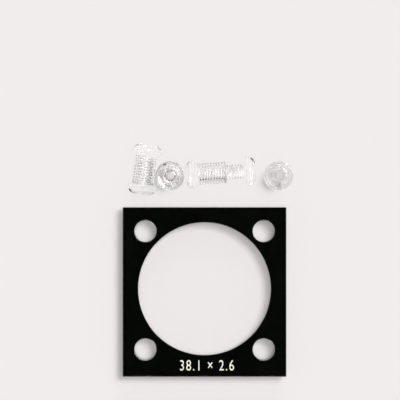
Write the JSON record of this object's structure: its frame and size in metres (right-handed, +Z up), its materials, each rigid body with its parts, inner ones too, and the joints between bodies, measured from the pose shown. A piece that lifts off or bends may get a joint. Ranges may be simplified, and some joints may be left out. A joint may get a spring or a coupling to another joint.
{
  "type": "coin holder",
  "caption": "Flat coin holder of three stacked acrylic sheets with a round coin well and corner holes, with its screw and barrel nut pairs lying beside it.",
  "frame": {"origin": "on the axis of the coin well, on the underside of the back cover, which is the face that the holder lies on", "axes": "+Z up, square to the sheets and towards the front cover; +Y towards the sheets' top edge, beyond which the fasteners lie; +X to the right, seen from the front"},
  "size_m": [0.0492, 0.0675, 0.0145],
  "materials": {
    "clear_sheet": "polished clear acrylic sheet",
    "black_sheet": "polished black acrylic sheet",
    "clear_fastener": "moulded clear acrylic",
    "number_foil": "pale gold stamping foil"
  },
  "bodies": {
    "back_cover": {"back_cover": "clear_sheet"},
    "centre_plate": {"centre_plate": "black_sheet"},
    "front_cover": {"front_cover": "clear_sheet"},
    "barrel_nut_1": {"barrel_nut_1": "clear_fastener"},
    "screw_1": {"screw_1": "clear_fastener"},
    "barrel_nut_2": {"barrel_nut_2": "clear_fastener"},
    "screw_2": {"screw_2": "clear_fastener"},
    "barrel_nut_3": {"barrel_nut_3": "clear_fastener"},
    "screw_3": {"screw_3": "clear_fastener"},
    "barrel_nut_4": {"barrel_nut_4": "clear_fastener"},
    "screw_4": {"screw_4": "clear_fastener"}
  },
  "joints": [
    {"name": "centre_lift", "type": "slide", "parent": "back_cover", "child": "centre_plate", "axis": [0, 0, 1], "range_m": [0, 0.015]},
    {"name": "front_lift", "type": "slide", "parent": "centre_plate", "child": "front_cover", "axis": [0, 0, 1], "range_m": [0, 0.015]},
    {"name": "screw_1_turn", "type": "hinge", "parent": "back_cover", "child": "screw_1", "pos_m": [-0.01837, 0.0274, 0.0042], "axis": [-0.1392, -0.9903, 0], "range_deg": [0, 3410]},
    {"name": "nut_1_travel", "type": "slide", "parent": "back_cover", "child": "barrel_nut_1", "axis": [0.1392, 0.9903, 0], "range_m": [0, 0.0075]},
    {"name": "nut_2_turn", "type": "hinge", "parent": "back_cover", "child": "barrel_nut_2", "pos_m": [-0.01, 0.0327, 0], "axis": [0, 0, -1], "range_deg": [0, 3410]},
    {"name": "screw_2_travel", "type": "slide", "parent": "back_cover", "child": "screw_2", "axis": [0, 0, 1], "range_m": [0, 0.0075]},
    {"name": "nut_3_turn", "type": "hinge", "parent": "back_cover", "child": "barrel_nut_3", "pos_m": [-0.0053, 0.033, 0.0042], "axis": [-0.998, -0.0628, 0], "range_deg": [-2545, 867]},
    {"name": "screw_3_travel", "type": "slide", "parent": "back_cover", "child": "screw_3", "axis": [0.998, 0.0628, 0], "range_m": [-0.0056, 0.0019]},
    {"name": "screw_4_turn", "type": "hinge", "parent": "back_cover", "child": "screw_4", "pos_m": [0.02136, 0.0327, 0], "axis": [0, 0, -1], "range_deg": [0, 3410]},
    {"name": "nut_4_travel", "type": "slide", "parent": "back_cover", "child": "barrel_nut_4", "axis": [0, 0, 1], "range_m": [0, 0.0075]}
  ],
  "couplings": [
    {"joint": "screw_1_turn", "follows": "nut_1_travel", "rad_per_m": 7913.3},
    {"joint": "nut_2_turn", "follows": "screw_2_travel", "rad_per_m": 7913.3},
    {"joint": "nut_3_turn", "follows": "screw_3_travel", "rad_per_m": 7913.3},
    {"joint": "screw_4_turn", "follows": "nut_4_travel", "rad_per_m": 7913.3}
  ]
}
